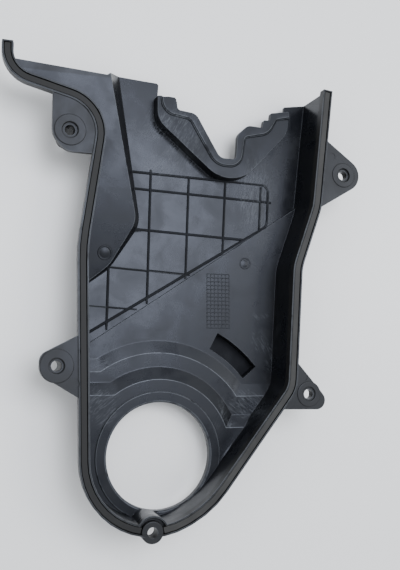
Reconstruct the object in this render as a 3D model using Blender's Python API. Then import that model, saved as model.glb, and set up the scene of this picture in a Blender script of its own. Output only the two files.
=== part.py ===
"""A moulded belt cover for the front of an engine, lying on its outer face with its open side up.

The plan is drawn about the centre of the crankshaft opening, +X to the right and +Y towards the
top of the cover, and depths are measured down from the rim. All sizes are in metres.
"""
import math
from dataclasses import dataclass

import bmesh
import bpy
from mathutils import Vector

# Driving sizes of the shell
WALL = 0.0025
SIDE_WALL = 0.0028
SIDE_DRAFT = 0.03
ARC_STEP = math.radians(9)
CIRCLE_SIDES = 64
SMALL_CIRCLE_SIDES = 32

# Depths of the inner floors under the rim
MAIN_FLOOR = 0.031
UPPER_FLOOR = 0.0335
FIRST_STEP = 0.0285
SECOND_STEP = 0.025
CAM_SHELF = 0.023
POCKET_FLOOR = 0.0392

# Rim: a channel that holds the gasket
RIM_WIDTH = 0.0076
RIM_DEPTH = 0.0065
LIP_WIDTH = 0.0012
CHANNEL_DEPTH = 0.0042
FLUSH = 0.0001
RIM_CORNERS = (
    (-0.1155, 0.2900, 0),
    (-0.1155, 0.2687, 0.020),
    (-0.0466, 0.2514, 0.028),
    (-0.0615, 0.1500, 0.120),
    (-0.0569, -0.0764, 0.0509),
    (0.0313, -0.0345, 0.070),
    (0.0970, 0.0490, 0.020),
    (0.1026, 0.1410, 0.030),
    (0.1195, 0.1880, 0.040),
    (0.1305, 0.2820, 0),
)

# Gasket: rubber strips that lie loose in the channel and butt against the lowest boss
GASKET_WIDTH = 0.0042
GASKET_TOP = 0.0008
GASKET_CLEARANCE = 0.0003
GASKET_BUTT_GAP = 0.0005

# Top edge of the cover, which stays open where the next cover would meet it
TOP_EDGE = (
    (-0.1400, 0.2809, 0),
    (-0.0449, 0.2757, 0),
    (-0.0311, 0.2856, 0),
    (0.0007, 0.2838, 0.002),
    (-0.0003, 0.2704, 0.002),
    (0.0120, 0.2698, 0.001),
    (0.0125, 0.2604, 0.003),
    (0.0275, 0.2590, 0.008),
    (0.0470, 0.2258, 0.007),
    (0.0602, 0.2257, 0.003),
    (0.0615, 0.2455, 0.007),
    (0.0705, 0.2538, 0.007),
    (0.0826, 0.2530, 0.001),
    (0.0838, 0.2592, 0.001),
    (0.0892, 0.2596, 0.001),
    (0.0901, 0.2656, 0.001),
    (0.1065, 0.2685, 0.001),
    (0.1072, 0.2762, 0.001),
    (0.1308, 0.2799, 0),
    (0.1500, 0.2815, 0),
)

# Shelf round the cam notch, with a bead along its free edge
SHELF_CORNERS = (
    (0.1058, 0.3000, 0),
    (0.1058, 0.2518, 0.018),
    (0.0578, 0.2007, 0.027),
    (-0.0026, 0.2521, 0.015),
    (-0.0026, 0.2706, 0),
    (0.0010, 0.2709, 0),
)
BEAD_CORNERS = (
    (0.0050, 0.2700, 0),
    (0.0060, 0.2620, 0.006),
    (0.0260, 0.2590, 0.012),
    (0.0465, 0.2250, 0.010),
    (0.0605, 0.2250, 0.006),
    (0.0640, 0.2480, 0.008),
    (0.0850, 0.2530, 0.008),
    (0.0925, 0.2650, 0.008),
    (0.1054, 0.2682, 0),
)
BEAD_WIDTH = 0.0055
BEAD_HEIGHT = 0.0022

# Ramp that falls from the hook at the top left to the main floor
RAMP_TOP_DEPTH = 0.0050
RAMP_TOP_Y = 0.2800
RAMP_FALL = 0.17
RAMP_SIDE_SLOPE = 0.456
RAMP_FOOT = (
    (-0.0332, 0.3000, 0),
    (-0.0235, 0.2360, 0.120),
    (-0.0135, 0.1720, 0.022),
    (-0.0360, 0.1383, 0.030),
    (-0.0800, 0.1065, 0),
)

# Edge between the main floor and the deeper upper floor
FLOOR_EDGE = ((-0.1000, 0.0503), (0.1500, 0.2145))

# Steps that follow the crankshaft opening, each a slope from its foot to its edge
STEP_RUN = 0.0092
FIRST_RADIUS = 0.0845
FIRST_LEFT_Y = 0.0708
FIRST_RIGHT_Y = 0.0512
SECOND_RADIUS = 0.0650
SECOND_LEFT_Y = 0.0540
SECOND_RIGHT_Y = 0.0280

# Crankshaft opening
CRANK_RADIUS = 0.0390
RING_RADIUS = 0.0473
RING_HEIGHT = 0.0012
COLLAR_WALL = 0.0028
COLLAR_LENGTH = 0.0025

# Timing pocket
POCKET_INNER_RADIUS = 0.0885
POCKET_OUTER_RADIUS = 0.1025
POCKET_FROM = math.radians(39)
POCKET_TO = math.radians(62)

# Grid of ribs on the upper floor
RIB_WIDTH = 0.0014
CROSS_RIB_WIDTH = 0.00126
RIB_HEIGHT = 0.0012
RIB_HEIGHT_STEP = 0.00005
GRID_FRAME = (
    (-0.0212, 0.2126, 0),
    (0.0925, 0.2097, 0.006),
    (0.0909, 0.1762, 0.007),
    (-0.0560, 0.0874, 0),
)
CROSS_RIBS = (
    ((-0.0051, 0.2149), (-0.0076, 0.1119)),
    ((0.0254, 0.2117), (0.0227, 0.1317)),
    ((0.0557, 0.2107), (0.0530, 0.1516)),
    ((0.0861, 0.2081), (0.0841, 0.1722)),
    ((-0.0372, 0.1386), (-0.0382, 0.0920)),
    ((-0.0191, 0.1997), (0.0948, 0.1956)),
    ((-0.0178, 0.1685), (0.0712, 0.1643)),
    ((-0.0366, 0.1391), (0.0264, 0.1349)),
    ((-0.0561, 0.1101), (-0.0153, 0.1076)),
)

# Ejector marks, as plan centre, radius and depth of the surface that they are pressed into
MARK_DEPTH = 0.0003
FLOOR_MARK = (0.0709, 0.1452, 0.0050)
RAMP_MARK = (-0.0413, 0.1488, 0.0060)

# Fixing ears
EAR_TOP = 0.0010
EAR_THICKNESS = 0.0040
BOSS_TOP = 0.0003
BOSS_EDGE = 0.0006
BOLT_RADIUS = 0.0037
BOSS_TUBE_RADIUS = 0.0068
RIM_BOSS_RADIUS = 0.0078
BULGE_RADIUS = 0.0116

REACH = 0.060
OVERSHOOT = 0.004
TOP_REACH = max(corner[1] for corner in RIM_CORNERS + TOP_EDGE + SHELF_CORNERS + RAMP_FOOT) + REACH / 2


@dataclass(frozen=True)
class Ear:
    """One bolt ear: its bolt centre, disc, boss length, counterbore and plate outline."""

    centre: tuple
    disc_radius: float
    boss_length: float
    seat_radius: float
    seat_depth: float
    plate: tuple
    marks: tuple = ()


EARS = (
    Ear((-0.0717, 0.2310), 0.0113, 0.0260, 0.0056, 0.0022,
        ((-0.0840, 0.2650, 0), (-0.0841, 0.2270, 0.014), (-0.0750, 0.2155, 0.012),
         (-0.0540, 0.2155, 0), (-0.0470, 0.2400, 0))),
    Ear((-0.0782, 0.0664), 0.0117, 0.0260, 0.0052, 0.0020,
        ((-0.0600, 0.0893, 0), (-0.0900, 0.0740, 0.008), (-0.0898, 0.0610, 0.010),
         (-0.0580, 0.0415, 0)),
        ((-0.0666, 0.0542, 0.0040),)),
    Ear((0.1103, 0.0443), 0.0096, 0.0060, 0.0052, 0.0014,
        ((0.0995, 0.0702, 0), (0.1327, 0.0323, 0.007), (0.0850, 0.0334, 0), (0.0940, 0.0600, 0)),
        ((0.1061, 0.0571, 0.0032),)),
    Ear((0.1429, 0.2146), 0.0098, 0.0065, 0.0052, 0.0022,
        ((0.1245, 0.2448, 0), (0.1670, 0.2138, 0.0126), (0.1200, 0.1862, 0)),
        ((0.1330, 0.2289, 0.0030),)),
)
RIM_BOSS = (-0.0106, -0.0486)
RIM_BOSS_LENGTH = 0.012


def left_of(direction):
    """The unit vector a quarter turn to the left."""
    return Vector((-direction.y, direction.x))


def fillet_runs(corners):
    """How far each corner's arc reaches along its two sides, limited so that no two arcs meet."""
    places = [Vector(corner[:2]) for corner in corners]
    turns = [0.0]
    for before, here, after in zip(places, places[1:], places[2:]):
        turns.append((here - before).angle(after - here))
    turns.append(0.0)
    runs = [corner[2] * math.tan(turn / 2) for corner, turn in zip(corners, turns)]
    for index in range(len(corners) - 1):
        length = (places[index + 1] - places[index]).length
        share = min(1.0, 0.96 * length / max(runs[index] + runs[index + 1], 1e-9))
        runs[index] *= share
        runs[index + 1] *= share
    return runs, turns


def rounded(corners):
    """A line through (x, y, radius) corners, each turned with an arc of its radius."""
    points = []
    runs, turns = fillet_runs(corners)
    for index, (run, turn) in enumerate(zip(runs, turns)):
        corner = Vector(corners[index][:2])
        if run < 1e-6:
            points.append(corner)
            continue
        back = (Vector(corners[index - 1][:2]) - corner).normalized()
        ahead = (Vector(corners[index + 1][:2]) - corner).normalized()
        side = 1 if back.cross(ahead) < 0 else -1
        start = corner + back * run
        spoke = left_of(back) * side * run / math.tan(turn / 2)
        centre = start - spoke
        count = max(2, math.ceil(turn / ARC_STEP))
        for step in range(count + 1):
            angle = side * turn * step / count
            cosine, sine = math.cos(angle), math.sin(angle)
            points.append(centre + Vector((spoke.x * cosine - spoke.y * sine,
                                           spoke.x * sine + spoke.y * cosine)))
    return points


def offset(points, distance):
    """An open line moved to its left by a distance, mitred at each point."""
    headings = [(b - a).normalized() for a, b in zip(points, points[1:])]
    moved = []
    for index, point in enumerate(points):
        before = headings[max(index - 1, 0)]
        after = headings[min(index, len(headings) - 1)]
        mitre = (left_of(before) + left_of(after)) / (1 + before.dot(after))
        moved.append(point + mitre * distance)
    return moved


def band(points, right, left):
    """The outline of a strip along a line, between two distances to its left."""
    return offset(points, left) + offset(points, right)[::-1]


def circle(centre, radius, sides=SMALL_CIRCLE_SIDES):
    """The outline of a circle."""
    turns = [2 * math.pi * step / sides for step in range(sides)]
    return [Vector((centre[0] + radius * math.cos(t), centre[1] + radius * math.sin(t))) for t in turns]


def skinned(name, rings, joined_round):
    """A closed solid over rings of corners, joined end to end or closed with a face at both ends."""
    mesh = bmesh.new()
    rings = [[mesh.verts.new(corner) for corner in ring] for ring in rings]
    following = rings[1:] + rings[:1] if joined_round else rings[1:]
    for here, after in zip(rings, following):
        for i in range(len(here)):
            mesh.faces.new((here[i - 1], here[i], after[i], after[i - 1]))
    if not joined_round:
        mesh.faces.new(rings[0])
        mesh.faces.new(rings[-1])
    bmesh.ops.recalc_face_normals(mesh, faces=mesh.faces)
    data = bpy.data.meshes.new(name)
    mesh.to_mesh(data)
    mesh.free()
    solid = bpy.data.objects.new(name, data)
    bpy.context.collection.objects.link(solid)
    return solid


def loft(name, levels):
    """A closed solid through outlines of equal length, each with its depth under the rim."""
    return skinned(name, [[(p.x, p.y, -depth) for p in outline] for outline, depth in levels], False)


def prism(name, outline, top, bottom):
    """A straight solid between two depths."""
    return loft(name, [(outline, top), (outline, bottom)])


def turned(name, profile, centre=(0.0, 0.0), sides=CIRCLE_SIDES):
    """A closed solid of revolution from (radius, depth) points that enclose its section."""
    spokes = circle((0, 0), 1, sides)
    rings = [[(centre[0] + r * spoke.x, centre[1] + r * spoke.y, -d) for r, d in profile] for spoke in spokes]
    return skinned(name, rings, True)


def combine(body, tool, operation, keep_tool=False):
    """Apply one exact Boolean to the body, and remove the tool unless it is kept."""
    modifier = body.modifiers.new(operation.title(), "BOOLEAN")
    modifier.operation = operation
    modifier.solver = "EXACT"
    modifier.object = tool
    bpy.context.view_layer.update()
    result = bpy.data.meshes.new_from_object(body.evaluated_get(bpy.context.evaluated_depsgraph_get()))
    body.modifiers.clear()
    body.data = result
    if not keep_tool:
        bpy.data.objects.remove(tool)


def add(body, tool):
    """Join a tool to the body."""
    combine(body, tool, "UNION")


def cut(body, tool):
    """Cut a tool out of the body."""
    combine(body, tool, "DIFFERENCE")


def clip(tool, body):
    """Keep only what of a tool lies inside the body."""
    combine(tool, body, "INTERSECT", keep_tool=True)


def rim_line():
    """The centre line of the rim, from the hook down the left side and up the right."""
    return rounded(RIM_CORNERS)


def closed_over_top(points):
    """A line along the sides, closed well above the top edge."""
    return points + [Vector((points[-1].x, TOP_REACH)), Vector((points[0].x, TOP_REACH))]


def side_outline(depth, grow):
    """The inner face of the side wall at a depth, or its outer face where grow is the wall."""
    return closed_over_top(offset(rim_line(), RIM_WIDTH / 2 + SIDE_DRAFT * depth - grow))


def step_fill(radius, left_y, right_y, edge_depth, foot_depth, grow):
    """What lies under one step: its slope runs from the edge down to the foot, then straight down."""
    count = math.ceil(math.pi / ARC_STEP)
    slope = STEP_RUN / (foot_depth - edge_depth)
    levels = []
    for inset, depth in ((STEP_RUN, edge_depth), (-slope * WALL, foot_depth + WALL)):
        outline = step_outline(radius - inset, left_y - inset, right_y - inset, count)
        levels.append((outline, depth + grow))
    levels.append((levels[-1][0], REACH + grow))
    return loft("step", levels)


def step_outline(radius, left_y, right_y, count):
    """The outline of a step: level at the left, an arc over the crankshaft, level at the right."""
    start = math.pi - math.asin(left_y / radius)
    end = math.asin(right_y / radius)
    turns = [start + (end - start) * step / count for step in range(count + 1)]
    arc = [Vector((radius * math.cos(t), radius * math.sin(t))) for t in turns]
    far = 3 * REACH
    return [Vector((-far, left_y)), *arc, Vector((far, right_y)), Vector((far, -far)), Vector((-far, -far))]


def main_floor_fill(grow):
    """What lies under the main floor, up to the edge of the upper floor."""
    edge = offset([Vector(p) for p in FLOOR_EDGE], -grow)
    far = -2 * REACH
    outline = edge + [Vector((edge[1].x, far)), Vector((edge[0].x, far))]
    return prism("main_floor", outline, MAIN_FLOOR + grow, REACH + grow)


def shelf_fill(grow):
    """What lies under the shelf round the cam notch."""
    edge = rounded(SHELF_CORNERS)
    levels = [(offset(edge, -grow + SIDE_DRAFT * (depth - CAM_SHELF)), depth + grow)
              for depth in (CAM_SHELF, REACH)]
    return loft("shelf", levels)


def ramp_fill(grow):
    """What lies under the ramp, with its sloping side."""
    foot = rounded(RAMP_FOOT)
    inset = grow * (math.hypot(1, RAMP_SIDE_SLOPE) - RAMP_SIDE_SLOPE)
    far_left = -3 * REACH
    levels = []
    for depth in (0, REACH):
        edge = offset(foot, -inset + RAMP_SIDE_SLOPE * (depth - UPPER_FLOOR))
        outline = edge + [Vector((far_left, edge[-1].y)), Vector((far_left, edge[0].y))]
        levels.append((outline, depth + grow))
    fill = loft("ramp", levels)
    near, far = 0.0, TOP_REACH + REACH
    profile = [(near, ramp_depth(near) + grow), (far, ramp_depth(far) + grow),
               (far, -2 * REACH), (near, -2 * REACH)]
    cut(fill, across(profile))
    return fill


def ramp_depth(y):
    """Depth of the ramp's surface at a height up the plan."""
    return RAMP_TOP_DEPTH + (RAMP_TOP_Y - y) * RAMP_FALL


def across(profile):
    """A solid that carries a (y, depth) profile across the whole width of the cover."""
    return skinned("across", [[(x, y, -d) for y, d in profile] for x in (-4 * REACH, 4 * REACH)], False)


def pocket(grow):
    """The timing pocket, a short arc about the crankshaft that goes deeper than the floor."""
    count = 4
    inner, outer = POCKET_INNER_RADIUS - grow, POCKET_OUTER_RADIUS + grow
    spread = grow / POCKET_INNER_RADIUS
    start, end = POCKET_FROM - spread, POCKET_TO + spread
    turns = [start + (end - start) * step / count for step in range(count + 1)]
    outline = [Vector((inner * math.cos(t), inner * math.sin(t))) for t in turns]
    outline += [Vector((outer * math.cos(t), outer * math.sin(t))) for t in reversed(turns)]
    return prism("pocket", outline, MAIN_FLOOR - OVERSHOOT, POCKET_FLOOR + grow)


def belt_space(name, top, side, grow):
    """The space inside the cover down to its stepped floors, or the same form grown by the wall."""
    levels = [(side_outline(depth, side), depth) for depth in (top, UPPER_FLOOR + grow)]
    space = loft(name, levels)
    cut(space, main_floor_fill(grow))
    cut(space, ramp_fill(grow))
    cut(space, shelf_fill(grow))
    cut(space, step_fill(FIRST_RADIUS, FIRST_LEFT_Y, FIRST_RIGHT_Y, FIRST_STEP, MAIN_FLOOR, grow))
    cut(space, step_fill(SECOND_RADIUS, SECOND_LEFT_Y, SECOND_RIGHT_Y, SECOND_STEP, FIRST_STEP, grow))
    add(space, pocket(grow))
    return space


def top_trim(inset=0.0):
    """Everything above the top edge of the cover, or above a line that lies inside it."""
    edge = offset(rounded(TOP_EDGE), -inset)
    outline = edge + [Vector((edge[-1].x, TOP_REACH + REACH)), Vector((edge[0].x, TOP_REACH + REACH))]
    return prism("trim", outline, -REACH, 2 * REACH)


def round_edge(radius, outward):
    """(radius, depth) pairs down a rounded top edge, of a post, or of a hole where outward is 1."""
    turns = [math.pi / 2 * step / 3 for step in range(4)]
    return [(radius + outward * BOSS_EDGE * (1 - math.sin(t)), BOSS_EDGE * (1 - math.cos(t))) for t in turns]


def rounded_post(name, centre, radius, bottom):
    """A round post that stands to the top of the bosses, with a rounded upper edge."""
    levels = [(circle(centre, r), BOSS_TOP + d) for r, d in round_edge(radius, -1)]
    return loft(name, levels + [(levels[-1][0], bottom)])


def rounded_hole(name, centre, radius, bottom):
    """A round hole from the top of the bosses, with a rounded upper edge."""
    levels = [(circle(centre, r), BOSS_TOP + d) for r, d in round_edge(radius, 1)]
    return loft(name, [(levels[0][0], -OVERSHOOT)] + levels + [(levels[-1][0], bottom)])


def add_ears(cover):
    """The ear plates with their discs and bosses."""
    for ear in EARS:
        add(cover, prism("plate", rounded(ear.plate), EAR_TOP, EAR_TOP + EAR_THICKNESS))
        add(cover, rounded_post("disc", ear.centre, ear.disc_radius, EAR_TOP + EAR_THICKNESS + WALL / 2))
        tube = circle(ear.centre, BOSS_TUBE_RADIUS)
        add(cover, prism("tube", tube, EAR_TOP + WALL, ear.boss_length + WALL))


def keep_inside(tool, distance):
    """Keep only what of a tool lies further in than a distance from the middle of the rim."""
    inside = prism("inside", closed_over_top(offset(rim_line(), distance)), -2 * OVERSHOOT, REACH)
    clip(tool, inside)
    bpy.data.objects.remove(inside)


def add_rim_boss(cover):
    """The lowest boss, which stands in the rim with the inner lip bulging round it."""
    bulge = prism("bulge", circle(RIM_BOSS, BULGE_RADIUS), 0, SECOND_STEP + WALL / 2)
    keep_inside(bulge, RIM_WIDTH / 2 - SIDE_WALL / 2)
    add(cover, bulge)
    moat = prism("moat", circle(RIM_BOSS, BULGE_RADIUS - LIP_WIDTH), -OVERSHOOT, CHANNEL_DEPTH + FLUSH)
    keep_inside(moat, LIP_WIDTH - RIM_WIDTH / 2 + FLUSH)
    cut(cover, moat)
    add(cover, rounded_post("boss", RIM_BOSS, RIM_BOSS_RADIUS, RIM_BOSS_LENGTH))


def cut_bolt_holes(cover):
    """The bolt holes with their seats, and the ejector marks on the ears."""
    for ear in EARS:
        cut(cover, prism("bolt", circle(ear.centre, BOLT_RADIUS), -OVERSHOOT, REACH))
        cut(cover, rounded_hole("seat", ear.centre, ear.seat_radius, ear.seat_depth))
        for x, y, radius in ear.marks:
            cut(cover, prism("mark", circle((x, y), radius), -OVERSHOOT, EAR_TOP + MARK_DEPTH))
    cut(cover, prism("bolt", circle(RIM_BOSS, BOLT_RADIUS), -OVERSHOOT, REACH))


def add_crank_ring(cover):
    """The raised ring round the crankshaft opening, turned in one with its collar on the outer side."""
    bore = circle((0, 0), CRANK_RADIUS + COLLAR_WALL / 2, CIRCLE_SIDES)
    cut(cover, prism("bore", bore, SECOND_STEP - RING_HEIGHT / 2, REACH))
    top = SECOND_STEP - RING_HEIGHT
    seat = SECOND_STEP + WALL / 2
    collar_radius = CRANK_RADIUS + COLLAR_WALL
    collar_end = SECOND_STEP + WALL + COLLAR_LENGTH
    ring = turned("ring", (
        (CRANK_RADIUS, collar_end), (CRANK_RADIUS, top + RING_HEIGHT),
        (CRANK_RADIUS + RING_HEIGHT / 3, top + RING_HEIGHT / 3), (CRANK_RADIUS + RING_HEIGHT, top),
        (RING_RADIUS - RING_HEIGHT / 2, top), (RING_RADIUS, top + RING_HEIGHT / 2), (RING_RADIUS, seat),
        (collar_radius, seat), (collar_radius, collar_end)))
    keep_inside(ring, RIM_WIDTH / 2 - SIDE_WALL / 2)
    add(cover, ring)


def add_ribs(cover):
    """The grid of low ribs on the upper floor, whose ends run past its frame or into the walls."""
    top, bottom = UPPER_FLOOR - RIB_HEIGHT, UPPER_FLOOR + WALL / 2
    ribs = prism("ribs", band(rounded(GRID_FRAME), -RIB_WIDTH / 2, RIB_WIDTH / 2), top, bottom)
    for index, line in enumerate(CROSS_RIBS):
        strip = band([Vector(p) for p in line], -CROSS_RIB_WIDTH / 2, CROSS_RIB_WIDTH / 2)
        lower = RIB_HEIGHT_STEP * (index + 1)
        add(ribs, prism("rib", strip, top + lower, bottom - lower))
    add(cover, ribs)


def add_bead(cover):
    """The rounded bead along the free edge of the cam notch, a hair inside the trimmed edge."""
    line = rounded(BEAD_CORNERS)
    shape = ((0.40, 1.0), (0.72, 0.85), (0.93, 0.5), (1.0, 0.0))
    levels = [(band(line, -BEAD_WIDTH * reach, BEAD_WIDTH), CAM_SHELF - BEAD_HEIGHT * height)
              for reach, height in shape]
    levels.append((levels[-1][0], CAM_SHELF + WALL / 2))
    bead = loft("bead", levels)
    cut(bead, top_trim(FLUSH))
    add(cover, bead)


def press_marks(cover):
    """The round ejector marks on the main floor and on the ramp, each square to its surface."""
    x, y, radius = FLOOR_MARK
    cut(cover, prism("mark", circle((x, y), radius), MAIN_FLOOR - OVERSHOOT, MAIN_FLOOR + MARK_DEPTH))
    x, y, radius = RAMP_MARK
    middle = ramp_depth(y)
    mark = prism("mark", circle((x, y), radius), middle - OVERSHOOT, middle + OVERSHOOT)
    low, high = y - REACH, y + REACH
    cut(mark, across([(low, ramp_depth(low) + MARK_DEPTH), (high, ramp_depth(high) + MARK_DEPTH),
                      (high, 2 * REACH), (low, 2 * REACH)]))
    cut(cover, mark)


def channel():
    """The groove along the rim, closed by a lip at both ends."""
    half = RIM_WIDTH / 2 - LIP_WIDTH
    line = shortened(rim_line(), LIP_WIDTH)
    return prism("channel", band(line, -half, half), -OVERSHOOT, CHANNEL_DEPTH)


def shortened(points, amount):
    """A line cut back by the same amount at both ends."""
    first = points[0] + (points[1] - points[0]).normalized() * amount
    last = points[-1] + (points[-2] - points[-1]).normalized() * amount
    return [first, *points[1:-1], last]


def make_cover():
    """The one-piece moulded cover."""
    cover = belt_space("cover", WALL, SIDE_WALL, WALL)
    cut(cover, top_trim())
    rim = band(rim_line(), -RIM_WIDTH / 2, RIM_WIDTH / 2 + WALL / 4)
    add(cover, prism("rim", rim, 0, RIM_DEPTH))
    add_ears(cover)
    cut(cover, belt_space("hollow", -OVERSHOOT, 0, 0))
    cut(cover, channel())
    add_rim_boss(cover)
    cut_bolt_holes(cover)
    add_crank_ring(cover)
    add_ribs(cover)
    add_bead(cover)
    press_marks(cover)
    return cover


def make_gaskets():
    """The two gasket strips, one on each side of the lowest boss."""
    half = GASKET_WIDTH / 2
    line = shortened(rim_line(), LIP_WIDTH + GASKET_CLEARANCE)
    strips = []
    for name, run in (("left_gasket", line), ("right_gasket", line[::-1])):
        outline = band(up_to_boss(run), -half, half)
        strips.append(prism(name, outline, GASKET_TOP, CHANNEL_DEPTH - GASKET_CLEARANCE))
    return strips


def up_to_boss(points):
    """A line that stops just short of the lowest boss."""
    boss, gap = Vector(RIM_BOSS), RIM_BOSS_RADIUS + GASKET_BUTT_GAP
    kept = []
    for here, after in zip(points, points[1:]):
        kept.append(here)
        if (after - boss).length < gap + GASKET_WIDTH / 2 or (here - boss).length < gap:
            break
    ahead = (after - here).normalized()
    along = (boss - here).dot(ahead)
    aside = (boss - here - ahead * along).length
    reach = math.sqrt(gap ** 2 - aside ** 2) if aside < gap else 0.0
    kept.append(here + ahead * (along - reach))
    return kept


def finish(solid, name, colour, roughness):
    """Name a piece and give it its material."""
    solid.name = name
    material = bpy.data.materials.new(name)
    material.use_nodes = True
    shader = material.node_tree.nodes["Principled BSDF"]
    shader.inputs["Base Color"].default_value = (*colour, 1)
    shader.inputs["Roughness"].default_value = roughness
    shader.inputs["Metallic"].default_value = 0
    solid.data.materials.clear()
    solid.data.materials.append(material)
    solid.data.shade_smooth()
    solid.data.set_sharp_from_angle(angle=math.radians(25))


def stand_on_origin(solids):
    """Place the pieces so that the middle of the underside of their box is the origin."""
    corners = [vertex.co for solid in solids for vertex in solid.data.vertices]
    low = [min(corner[axis] for corner in corners) for axis in range(3)]
    high = [max(corner[axis] for corner in corners) for axis in range(3)]
    for solid in solids:
        solid.location = (-(low[0] + high[0]) / 2, -(low[1] + high[1]) / 2, -low[2])


def main():
    """Model the cover and its gasket strips."""
    for existing in list(bpy.data.objects):
        bpy.data.objects.remove(existing)
    cover = make_cover()
    finish(cover, "cover", (0.035, 0.037, 0.041), 0.35)
    gaskets = make_gaskets()
    for gasket in gaskets:
        finish(gasket, gasket.name, (0.03, 0.03, 0.03), 0.8)
    stand_on_origin([cover, *gaskets])


main()
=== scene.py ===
"""The looks of a moulded timing belt cover that lies on a pale table with its open side up.

The plan is drawn about the centre of the crankshaft opening, +X to the right and +Y towards the
top of the cover, and depths are measured down from the rim. All sizes are in metres.
"""
import logging
import math
from dataclasses import dataclass
from enum import Enum

import bmesh
import bpy
import numpy as np
from mathutils import Matrix, Vector
from mathutils.kdtree import KDTree

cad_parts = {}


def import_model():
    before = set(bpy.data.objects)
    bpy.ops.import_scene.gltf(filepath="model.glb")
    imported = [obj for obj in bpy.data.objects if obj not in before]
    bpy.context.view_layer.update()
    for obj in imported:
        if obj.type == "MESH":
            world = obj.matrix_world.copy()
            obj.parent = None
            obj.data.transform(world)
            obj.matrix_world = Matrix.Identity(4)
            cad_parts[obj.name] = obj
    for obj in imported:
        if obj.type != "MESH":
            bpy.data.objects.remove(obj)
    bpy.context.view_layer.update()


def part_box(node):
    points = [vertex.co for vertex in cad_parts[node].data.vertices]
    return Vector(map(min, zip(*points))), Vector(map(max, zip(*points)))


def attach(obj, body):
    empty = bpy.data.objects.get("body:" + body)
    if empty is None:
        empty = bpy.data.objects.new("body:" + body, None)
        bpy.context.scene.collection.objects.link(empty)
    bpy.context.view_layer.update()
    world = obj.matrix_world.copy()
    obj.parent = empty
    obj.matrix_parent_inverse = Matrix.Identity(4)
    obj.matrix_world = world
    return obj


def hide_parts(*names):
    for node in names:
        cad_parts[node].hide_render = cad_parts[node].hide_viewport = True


LOG = logging.getLogger("belt_cover")

Colour = tuple[float, float, float, float]

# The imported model's box in the plan: its left edge and its lowest edge
PLAN_LEFT = -0.1193
PLAN_BOTTOM = -0.0564

# The photograph's frame in pixels, and a camera fitted to the round opening in it
FRAME_PX = (400.0, 570.0)
FOCAL_PX = 740.0
NADIR_PX = (-45.0, 352.0)
SENSOR_MM = 36.0
CAMERA_PLAN = (-0.1439, 0.0759)
CAMERA_HEIGHT = 0.508

# Faces of outward roundings, paled in the finishes: partly abrasion, partly painted highlight
EDGE_ATTRIBUTE = "worn_and_highlit_edge"
ROUNDED = "rounded"

# The sockets of a Mix node that belong to colours
MIX_SHARE, MIX_FIRST, MIX_SECOND, MIX_RESULT = 0, 6, 7, 2

# Points of a new surface that are closer than this are one point
SAME_POINT = 1e-6

# Where along an edge the free width beside it is measured, and the least length that counts
PROBES = (0.08, 0.3, 0.5, 0.7, 0.92)
NO_LENGTH = 1e-9


class Part(Enum):
    """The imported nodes, each with the piece that stands for it."""

    COVER = "cover"
    LEFT_GASKET = "left_gasket"
    RIGHT_GASKET = "right_gasket"


class Slot(Enum):
    """The record's material slots."""

    PLASTIC = "moulded_plastic"
    RUBBER = "gasket_rubber"


@dataclass(frozen=True)
class Plan:
    """Where the plan of the cover lies in the frame.

    Args:
        x: frame position of the crankshaft centre.
        y: frame position of the crankshaft centre.
        rim: height of the rim over the table.
    """

    x: float
    y: float
    rim: float

    @classmethod
    def from_frame(cls) -> "Plan":
        """Read the plan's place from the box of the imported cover."""
        low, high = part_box(Part.COVER.value)
        return cls(low[0] - PLAN_LEFT, low[1] - PLAN_BOTTOM, high[2])

    def at(self, points: np.ndarray, depth: np.ndarray | float) -> np.ndarray:
        """Turn plan points and depths under the rim into frame positions.

        Args:
            points: plan points, two columns.
            depth: one depth, or one for each point.

        Returns:
            Frame positions, three columns.
        """
        depths = np.broadcast_to(np.asarray(depth, dtype=float), points.shape[:-1])
        return np.stack([points[..., 0] + self.x, points[..., 1] + self.y, self.rim - depths], axis=-1)


@dataclass(frozen=True)
class Lamp:
    """One square area lamp.

    Args:
        name: name of the lamp.
        place: where it hangs.
        size: length of its sides.
        power: its power in watts.
        colour: its colour.
    """

    name: str
    place: tuple[float, float, float]
    size: float
    power: float
    colour: tuple[float, float, float]

    def build(self) -> None:
        """Hang the lamp and turn it to the cover."""
        light = bpy.data.lights.new(self.name, "AREA")
        light.size = self.size
        light.energy = self.power
        light.color = self.colour
        lamp = bpy.data.objects.new(self.name, light)
        bpy.context.scene.collection.objects.link(lamp)
        lamp.location = self.place
        lamp.rotation_euler = (-Vector(self.place)).to_track_quat("-Z", "Y").to_euler()


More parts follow.
